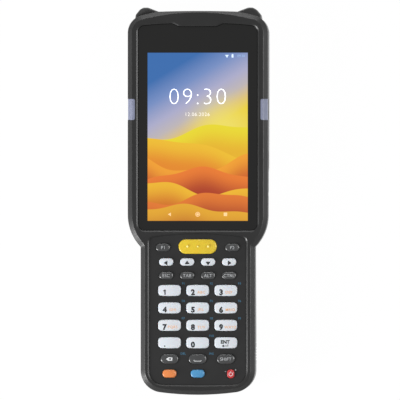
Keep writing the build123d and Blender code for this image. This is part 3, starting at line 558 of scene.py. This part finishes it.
def raw_text(text, weight, spacing, thick):
    """A text as a bmesh, at the text's own size."""
    curve = bpy.data.curves.new("lettering", "FONT")
    curve.body = text
    curve.size = TEXT_SIZE
    curve.offset = weight
    curve.space_character = spacing
    curve.extrude = thick
    curve.resolution_u = 3
    holder = bpy.data.objects.new("lettering", curve)
    bpy.context.scene.collection.objects.link(holder)
    bpy.context.view_layer.update()
    mesh = bpy.data.meshes.new_from_object(holder.evaluated_get(bpy.context.evaluated_depsgraph_get()))
    bm = bmesh.new()
    bm.from_mesh(mesh)
    bpy.data.objects.remove(holder)
    bpy.data.meshes.remove(mesh)
    bmesh.ops.remove_doubles(bm, verts=bm.verts, dist=1e-5)
    return bm


def extent(bm, axis):
    """Lowest and highest coordinate along an axis."""
    values = [vert.co[axis] for vert in bm.verts]
    return min(values), max(values)


probe = raw_text("0", 0.0, 1.0, 0.0)
ZERO_HEIGHT = extent(probe, 1)[1] - extent(probe, 1)[0]
probe.free()
print("a 0 is", round(ZERO_HEIGHT, 3), "of the text's size")


def text_plate(text, height, x, y, weight=0.0, spacing=1.0, align="centre"):
    """A thin plate in the shape of a text, scaled so that a 0 is height metres high, anchored at x, y."""
    bm = raw_text(text, weight, spacing, INK_THICK * ZERO_HEIGHT / height)
    bmesh.ops.scale(bm, verts=bm.verts, vec=Vector((1, 1, 1)) * (height / ZERO_HEIGHT))
    left, right = extent(bm, 0)
    low, high = extent(bm, 1)
    anchor_x = {"centre": (left + right) / 2, "left": left, "right": right}[align]
    bmesh.ops.translate(bm, verts=bm.verts, vec=Vector((x - anchor_x, y - (low + high) / 2, 0)))
    return bm


# %% [markdown]
# ## Legends on the keys
#
# The number keys carry a bold black digit at the lower left and, beside it, the letters of a telephone
# keypad in orange. Function keys carry their names in pale ink.

# %% Print the number keys
BOLD = 0.055
DIGIT_HEIGHT = 2.75 * MM
LETTER_HEIGHT = 1.4 * MM
DIGIT_X = -2.45 * MM
DIGIT_Y = -0.95 * MM
LETTERS_X = {3: -0.1 * MM, 4: -0.8 * MM}
LETTERS_Y = -0.95 * MM
LETTERS = {"2": "ABC", "3": "DEF", "4": "GHI", "5": "JKL", "6": "MNO", "7": "PQRS", "8": "TUV", "9": "WXYZ"}
MARK_LIFT = 0.012 * MM


def centre(node):
    """The middle of a piece's box."""
    low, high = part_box(node)
    return (low + high) / 2


def mark_key(name, bm, node, material):
    """Presses a mark onto a key and lets it travel with the key."""
    press(bm, node, MARK_LIFT)
    finish_piece(bm, name, material, node)


def bar(bm, x, y, width, height, turn=0.0):
    """Adds a thin bar."""
    made = bmesh.ops.create_cube(bm, size=1.0)["verts"]
    bmesh.ops.scale(bm, verts=made, vec=Vector((width, height, 2 * INK_THICK)))
    bmesh.ops.rotate(bm, verts=made, matrix=Matrix.Rotation(turn, 3, "Z"))
    bmesh.ops.translate(bm, verts=made, vec=Vector((x, y, 0)))


for digit in "1234567890":
    node = f"key_{digit}"
    middle = centre(node)
    x, y = middle.x + DIGIT_X, middle.y + DIGIT_Y
    if digit == "1":
        # A sturdy stem with a flag, since the typeface's own 1 is thin.
        plate = bmesh.new()
        bar(plate, x + 0.15 * MM, y, 0.66 * MM, DIGIT_HEIGHT)
        bar(plate, x - 0.38 * MM, y + 0.84 * MM, 0.95 * MM, 0.5 * MM, math.radians(35))
    else:
        plate = text_plate(digit, DIGIT_HEIGHT, x, y, weight=BOLD)
    mark_key(f"digit_{digit}", plate, node, black_ink)
    if digit in LETTERS:
        word = LETTERS[digit]
        plate = text_plate(word, LETTER_HEIGHT, middle.x + LETTERS_X[len(word)], middle.y + LETTERS_Y,
                           weight=0.012, spacing=1.12, align="left")
        mark_key(f"letters_{digit}", plate, node, orange_ink)
print("number keys printed")

# %% Print the function keys
NAME_HEIGHT = 1.7 * MM
NAMES = {"p1": "P1", "p2": "P2", "esc": "ESC", "tab": "TAB", "alt": "ALT", "ctrl": "CTRL", "shift": "SHIFT"}
for key, text in NAMES.items():
    node = f"key_{key}"
    middle = centre(node)
    plate = text_plate(text, NAME_HEIGHT, middle.x, middle.y)
    mark_key(f"name_{key}", plate, node, pale_ink)
middle = centre("key_enter")
plate = text_plate("ENT", NAME_HEIGHT, middle.x - 0.25 * MM, middle.y + 0.45 * MM, weight=0.05, spacing=1.05)
mark_key("name_enter", plate, "key_enter", black_ink)
print("function keys printed:", len(NAMES) + 1)

# %% [markdown]
# ## Signs made of simple shapes
#
# Arrows, the space bar's bracket, the erase sign and the power sign are built from a few bars, triangles
# and rings. Bars, triangles and discs start as bmesh's own shapes, and a ring is a short edge spun round.

# %% Triangles, discs and rings
FULL_TURN = 2 * math.pi


def thicken(bm, flat):
    """Gives flat faces the ink's thickness."""
    made = bmesh.ops.extrude_face_region(bm, geom=flat)["geom"]
    bmesh.ops.translate(bm, verts=[item for item in made if isinstance(item, bmesh.types.BMVert)],
                        vec=Vector((0, 0, INK_THICK)))


def triangle(bm, x, y, radius, turn, squash=1.0):
    """Adds a thin triangle that points along turn."""
    made = bmesh.ops.create_circle(bm, cap_ends=True, segments=3, radius=radius)["verts"]
    bmesh.ops.rotate(bm, verts=made, matrix=Matrix.Rotation(-math.pi / 2, 3, "Z"))
    bmesh.ops.scale(bm, verts=made, vec=Vector((squash, 1, 1)))
    bmesh.ops.rotate(bm, verts=made, matrix=Matrix.Rotation(turn, 3, "Z"))
    bmesh.ops.translate(bm, verts=made, vec=Vector((x, y, 0)))
    thicken(bm, list({face for vert in made for face in vert.link_faces}))


def disc(bm, x, y, radius, segments=20):
    """Adds a thin disc."""
    made = bmesh.ops.create_circle(bm, cap_ends=True, segments=segments, radius=radius)["verts"]
    bmesh.ops.translate(bm, verts=made, vec=Vector((x, y, 0)))
    thicken(bm, list({face for vert in made for face in vert.link_faces}))


def ring(bm, x, y, radius, width, start=0.0, sweep=FULL_TURN, steps=28):
    """Adds a thin ring, or a part of one, spun from a short edge."""
    begin = bm.verts.new((radius - width / 2, 0, 0)), bm.verts.new((radius + width / 2, 0, 0))
    edge = bm.edges.new(begin)
    bmesh.ops.rotate(bm, verts=begin, matrix=Matrix.Rotation(start, 3, "Z"))
    before = set(bm.faces)
    bmesh.ops.spin(bm, geom=[*begin, edge], cent=(0, 0, 0), axis=(0, 0, 1), angle=sweep, steps=steps,
                   use_merge=sweep > FULL_TURN - 0.1)
    faces = [face for face in bm.faces if face not in before]
    verts = list({vert for face in faces for vert in face.verts})
    bmesh.ops.translate(bm, verts=verts, vec=Vector((x, y, 0)))
    thicken(bm, faces)


print("signs can be built")

# %% Print the arrows
ARROW_DROP = 0.5 * MM
ARROW_RADIUS = 1.5 * MM
ARROW_SQUASH = 0.85
for key, turn in (("left", math.pi), ("up", math.pi / 2), ("down", -math.pi / 2), ("right", 0.0)):
    node = f"key_{key}"
    middle = centre(node)
    sign = bmesh.new()
    triangle(sign, middle.x, middle.y - ARROW_DROP, ARROW_RADIUS, turn, ARROW_SQUASH)
    mark_key(f"arrow_{key}", sign, node, black_ink)
print("arrows printed")

# %% Print the return arrow, the point, the erase, space and power signs
STROKE = 0.3 * MM
RETURN_DROP = 1.65 * MM
middle = centre("key_enter")
sign = bmesh.new()
bar(sign, middle.x - 0.1 * MM, middle.y - RETURN_DROP, 2.4 * MM, STROKE)
bar(sign, middle.x + 1.1 * MM, middle.y - RETURN_DROP + 0.4 * MM, STROKE, 1.1 * MM)
triangle(sign, middle.x - 1.35 * MM, middle.y - RETURN_DROP, 0.85 * MM, math.pi, ARROW_SQUASH)
mark_key("return_arrow", sign, "key_enter", black_ink)

middle = centre("key_point")
sign = bmesh.new()
disc(sign, middle.x + DIGIT_X, middle.y - 1.75 * MM, 0.36 * MM)
mark_key("decimal_point", sign, "key_point", black_ink)

middle = centre("key_backspace")
sign = bmesh.new()
bar(sign, middle.x + 0.4 * MM, middle.y, 2.2 * MM, 1.8 * MM)
triangle(sign, middle.x - 1.0 * MM, middle.y, 1.04 * MM, math.pi, 0.8)
mark_key("erase_sign", sign, "key_backspace", bright_ink)
sign = bmesh.new()
for turn in (45, -45):
    bar(sign, middle.x + 0.3 * MM, middle.y, 1.5 * MM, 0.34 * MM, math.radians(turn))
press(sign, "key_backspace", MARK_LIFT + 0.006 * MM)
finish_piece(sign, "erase_cross", black_ink, "key_backspace")

middle = centre("key_space")
sign = bmesh.new()
bar(sign, middle.x, middle.y - 1.05 * MM, 3.8 * MM, 0.28 * MM)
for end in (-1.8, 1.8):
    bar(sign, middle.x + end * MM, middle.y - 0.75 * MM, 0.28 * MM, 0.6 * MM)
mark_key("space_sign", sign, "key_space", bright_ink)

middle = centre("key_power")
sign = bmesh.new()
ring(sign, middle.x, middle.y - 0.1 * MM, 0.92 * MM, 0.26 * MM, start=math.radians(125),
     sweep=math.radians(290), steps=20)
bar(sign, middle.x, middle.y + 0.75 * MM, 0.26 * MM, 1.0 * MM)
mark_key("power_sign", sign, "key_power", bright_ink)

# The scan key's three raised bumps get pale discs: painted highlights that make the bumps show.
middle = centre("key_scan")
for x, radius in ((-5.4, 0.55), (0.0, 0.42), (5.4, 0.55)):
    sign = bmesh.new()
    disc(sign, middle.x + x * MM, middle.y, radius * MM)
    mark_key(f"scan_bump_highlight_{int(x) + 6}", sign, "key_scan", painted_bump_highlight)
print("signs printed")

# %% [markdown]
# ## Marks on the keypad plate
#
# Above the right corner of each number key the plate carries the key's second use, F1 to F10, in a dim
# blue that belongs to the blue shift key. A tiny lamp sits beside the power key.

# %% Print the plate
SECOND_HEIGHT = 1.15 * MM
SECOND_X = 7.2 * MM
SECOND_Y = 3.6 * MM
LOW_SECOND_Y = 2.85 * MM
for number, digit in enumerate("1234567890", start=1):
    middle = centre(f"key_{digit}")
    plate = text_plate(f"F{number}", SECOND_HEIGHT, middle.x + SECOND_X, middle.y + SECOND_Y, weight=0.01)
    press(plate, "keypad_plate", 0.0)
    finish_piece(plate, f"second_use_{number}", blue_ink, "casing")

for key, text in (("backspace", "DEL"), ("space", "INS")):
    middle = centre(f"key_{key}")
    plate = text_plate(text, SECOND_HEIGHT, middle.x + SECOND_X, middle.y + LOW_SECOND_Y, weight=0.01)
    press(plate, "keypad_plate", 0.0)
    finish_piece(plate, f"second_use_{key}", blue_ink, "casing")

middle = centre("key_power")
lamp = bmesh.new()
disc(lamp, middle.x + 2.45 * MM, middle.y + 2.05 * MM, 0.38 * MM)
press(lamp, "keypad_plate", 0.03 * MM)
finish_piece(lamp, "charge_lamp", pale_ink, "casing")
dash = bmesh.new()
bar(dash, middle.x - 2.75 * MM, middle.y + 1.2 * MM, 0.9 * MM, 0.22 * MM)
press(dash, "keypad_plate", 0.0)
finish_piece(dash, "power_dash", pale_ink, "casing")
print("plate printed")

# %% [markdown]
# ## Gold on the contacts
#
# The dock's contact strip and the battery's contact block are black plastic with metal faces that carry
# the current. On the real piece these are springs, plated with gold where they touch. A thin gold face
# with a chamfered edge on each does the same to the eye, and it sits a few hundredths of a millimetre
# proud, so that it never flickers against the plastic under it.

# %% Plate the contacts
def gold_faces(name, spots, size, body):
    """Thin chamfered plates of one size in metres, one at each spot."""
    plates = bmesh.new()
    for spot in spots:
        made = bmesh.ops.create_cube(plates, size=1.0)["verts"]
        bmesh.ops.scale(plates, verts=made, vec=Vector(size))
        bmesh.ops.translate(plates, verts=made, vec=Vector(spot))
    bmesh.ops.bevel(plates, geom=plates.edges[:], offset=0.25 * min(size), segments=1, profile=0.5,
                    affect="EDGES", material=-1)
    finish_piece(plates, name, gold, body)


dock_low, dock_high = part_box("dock_connector")
DOCK_CONTACTS = 10
DOCK_MARGIN = 1.2 * MM
dock_pitch = (dock_high.x - dock_low.x - 2 * DOCK_MARGIN) / (DOCK_CONTACTS - 1)
dock_z = (dock_low.z + dock_high.z) / 2
gold_faces("dock_contact_faces",
           [(dock_low.x + DOCK_MARGIN + dock_pitch * step, dock_low.y - 0.01 * MM, dock_z)
            for step in range(DOCK_CONTACTS)], (1.1 * MM, 0.08 * MM, 2.6 * MM), "casing")
BLOCK_CONTACTS = [(-5.4 + 3.6 * step) * MM for step in range(4)]
BLOCK_Y = -3.5 * MM
block_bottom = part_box("battery_connector")[0].z
gold_faces("battery_contact_faces", [(x, BLOCK_Y, block_bottom) for x in BLOCK_CONTACTS],
           (0.9 * MM, 2.8 * MM, 0.03 * MM), "casing")
pack_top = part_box("battery_lid")[1].z
gold_faces("pack_contact_faces", [(x, BLOCK_Y, pack_top) for x in BLOCK_CONTACTS],
           (2.0 * MM, 3.6 * MM, 0.03 * MM), "battery")
print("contacts plated:", DOCK_CONTACTS + 2 * len(BLOCK_CONTACTS))

# %% [markdown]
# ## The scanner's lens
#
# Behind the tinted window sits the scan engine, a small camera. Its lens is a domed piece of glass in
# the round opening. A sphere pressed flat has that dome.

# %% Set the lens
def clear_glass():
    """Clear optical glass."""
    material, tree, shader = new_material("clear_glass")
    shader.inputs["Base Color"].default_value = (0.75, 0.8, 0.9, 1.0)
    shader.inputs["Transmission Weight"].default_value = 0.9
    shader.inputs["Roughness"].default_value = 0.02
    shader.inputs["IOR"].default_value = 1.5
    roughen(tree, shader, noise(tree, 60.0), 0.001 * MM)
    return material


LENS_RADIUS = 2.5 * MM
engine_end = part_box("scan_engine")[1].y
lens = bmesh.new()
bmesh.ops.create_uvsphere(lens, u_segments=32, v_segments=16, radius=LENS_RADIUS)
bmesh.ops.scale(lens, verts=lens.verts, vec=Vector((1, 0.16, 1)))
bmesh.ops.translate(lens, verts=lens.verts, vec=Vector((-4.5 * MM, engine_end - 0.45 * MM, 15.5 * MM)))
finish_piece(lens, "engine_lens", clear_glass(), "casing")
print("lens set")

# %% [markdown]
# ## What the display shows
#
# Over the picture stand a large clock, a date, three small signs in the top corner and three along the
# bottom. They shine by themselves, and lie a hair above the glass.

# %% The clock and the date
CLOCK_Y = 54.6 * MM
CLOCK_HEIGHT = 8.8 * MM
DATE_Y = 45.3 * MM
STATUS_Y = 75.75 * MM
NAVIGATION_Y = -6.9 * MM
GLASS_LIFT = 0.01 * MM


def show(bm, name, light=lit_white):
    """Puts a mark on the display."""
    press(bm, "touch_panel", GLASS_LIFT)
    finish_piece(bm, name, light, "casing")


show(text_plate("09:30", CLOCK_HEIGHT, 0.0, CLOCK_Y, weight=-0.028, spacing=1.12), "clock_digits")
show(text_plate("12.06.2026", 1.85 * MM, 0.0, DATE_Y, weight=-0.012, spacing=1.12), "date_digits", lit_warm)
show(text_plate("09:30", 1.25 * MM, 24.6 * MM, STATUS_Y, align="right"), "small_clock", lit_faint)
print("clock set")

# %% The signs in the corner and along the bottom
sign = bmesh.new()
triangle(sign, 15.3 * MM, STATUS_Y, 1.15 * MM, -math.pi / 2, 0.9)
show(sign, "radio_sign", lit_dim)
sign = bmesh.new()
bar(sign, 18.2 * MM, STATUS_Y - 0.1 * MM, 1.0 * MM, 1.6 * MM)
bar(sign, 18.2 * MM, STATUS_Y + 0.85 * MM, 0.5 * MM, 0.3 * MM)
show(sign, "charge_sign", lit_dim)
sign = bmesh.new()
triangle(sign, -14.5 * MM, NAVIGATION_Y, 1.15 * MM, math.pi, 0.9)
show(sign, "back_sign", lit_sand)
sign = bmesh.new()
ring(sign, 0.0, NAVIGATION_Y, 1.05 * MM, 0.35 * MM)
disc(sign, 0.0, NAVIGATION_Y, 0.6 * MM)
show(sign, "home_sign", lit_sand)
sign = bmesh.new()
bar(sign, 14.5 * MM, NAVIGATION_Y, 1.8 * MM, 1.8 * MM)
show(sign, "recent_sign", lit_sand)
print("signs shown")

# %% [markdown]
# ## The floor, the light and the camera
#
# The terminal lies on its back on a white sheet, seen from above and very slightly from its right. A
# tall soft box stands at its right, a smaller one at its left, and a wide one beyond its head. Their size
# is what makes the highlights on the bevels long and soft. The sheet has one side only: from below it
# can't be seen, so that the terminal's back can be looked at too.
#
# Nearly all that the camera sees of the sheet is the sheet's own glow. That keeps it a clean white, and it
# also washes out the terminal's shadow, of which only a trace too faint to notice is left. A smaller share
# of glow would show more of it. The room is white to the camera and through clear plastic, and dim to
# everything else, so it lights the terminal softly and shows dim in its gloss.

# %% A white floor
FLOOR_SIZE = 3.0
FLOOR_GAP = 0.1 * MM
FLOOR_GLOW = 0.98


def paper_white():
    """White by its own glow to the camera, with hardly any shadow left on it, and clear from below."""
    material, tree, shader = new_material("paper_white")
    tree.nodes.remove(shader)
    rays = add_node(tree, "ShaderNodeLightPath").outputs
    seen = calc(tree, "MAXIMUM", rays["Is Camera Ray"],
                calc(tree, "MAXIMUM", rays["Is Glossy Ray"], rays["Is Transmission Ray"]))
    matte = add_node(tree, "ShaderNodeBsdfDiffuse")
    matte.inputs["Color"].default_value = (0.95, 0.95, 0.95, 1.0)
    bright = add_node(tree, "ShaderNodeEmission")
    bright.inputs["Strength"].default_value = 1.0
    mixed = add_node(tree, "ShaderNodeMixShader")
    tree.links.new(calc(tree, "MULTIPLY", seen, FLOOR_GLOW), mixed.inputs[0])
    tree.links.new(matte.outputs[0], mixed.inputs[1])
    tree.links.new(bright.outputs[0], mixed.inputs[2])
    clear = add_node(tree, "ShaderNodeBsdfTransparent")
    one_sided = add_node(tree, "ShaderNodeMixShader")
    tree.links.new(add_node(tree, "ShaderNodeNewGeometry").outputs["Backfacing"], one_sided.inputs[0])
    tree.links.new(mixed.outputs[0], one_sided.inputs[1])
    tree.links.new(clear.outputs[0], one_sided.inputs[2])
    tree.links.new(one_sided.outputs[0], tree.nodes["Material Output"].inputs["Surface"])
    return material


sheet = bmesh.new()
bmesh.ops.create_grid(sheet, x_segments=1, y_segments=1, size=FLOOR_SIZE)
bmesh.ops.translate(sheet, verts=sheet.verts, vec=Vector((0, 0, cad_low.z - FLOOR_GAP)))
floor_mesh = bpy.data.meshes.new("floor")
sheet.to_mesh(floor_mesh)
sheet.free()
floor_mesh.materials.append(paper_white())
floor = bpy.data.objects.new("floor", floor_mesh)
bpy.context.scene.collection.objects.link(floor)
print("floor laid")


# %% Lamps
def soft_box(name, spot, target, size, power):
    """A rectangular lamp that faces a target."""
    lamp = bpy.data.lights.new(name, "AREA")
    lamp.shape = "RECTANGLE"
    lamp.size, lamp.size_y = size
    lamp.energy = power
    holder = bpy.data.objects.new(name, lamp)
    bpy.context.scene.collection.objects.link(holder)
    holder.location = spot
    holder.rotation_euler = (Vector(target) - Vector(spot)).to_track_quat("-Z", "Y").to_euler()
    holder.visible_camera = False


soft_box("right_box", (0.72, 0.05, 0.60), (0, 0, 0), (0.30, 0.8), 5.8)
soft_box("left_box", (-0.50, -0.27, 0.26), (0, -0.02, 0), (0.14, 0.4), 5.4)
soft_box("top_box", (0.0, 0.95, 0.25), (0, 0, 0), (0.8, 0.2), 4.5)
print("lamps lit")

# %% The room: dim to the terminal and in its gloss, white to the camera and through clear plastic
ROOM_LIGHT = 0.36
world = bpy.data.worlds.new("room")
world.use_nodes = True
room = world.node_tree
background = room.nodes["Background"]
background.inputs["Color"].default_value = (1.0, 1.0, 1.0, 1.0)
rays = add_node(room, "ShaderNodeLightPath").outputs
seen = calc(room, "MAXIMUM", rays["Is Camera Ray"], rays["Is Transmission Ray"])
strength = calc(room, "MULTIPLY_ADD", seen, 1.0 - ROOM_LIGHT, ROOM_LIGHT)
room.links.new(strength, background.inputs["Strength"])
bpy.context.scene.world = world
bpy.context.scene.view_settings.view_transform = "Standard"
print("room lit at", ROOM_LIGHT)

# %% Camera
FRAME_WIDTH = 208.6 * MM
CAMERA_HEIGHT = 4.0
CAMERA_LEAN = math.radians(2.3)
AIM = Vector((1.26 * MM, 0.57 * MM, cad_high.z))
SENSOR = 36.0
camera_data = bpy.data.cameras.new("camera")
camera_data.sensor_width = SENSOR
camera_data.lens = SENSOR * CAMERA_HEIGHT / FRAME_WIDTH
camera_data.clip_start = 0.01
camera = bpy.data.objects.new("camera", camera_data)
bpy.context.scene.collection.objects.link(camera)
camera.location = AIM + CAMERA_HEIGHT * Vector((math.sin(CAMERA_LEAN), 0, math.cos(CAMERA_LEAN)))
camera.rotation_euler = (0, CAMERA_LEAN, 0)
bpy.context.scene.camera = camera
print("camera", round(camera_data.lens, 1), "mm lens")
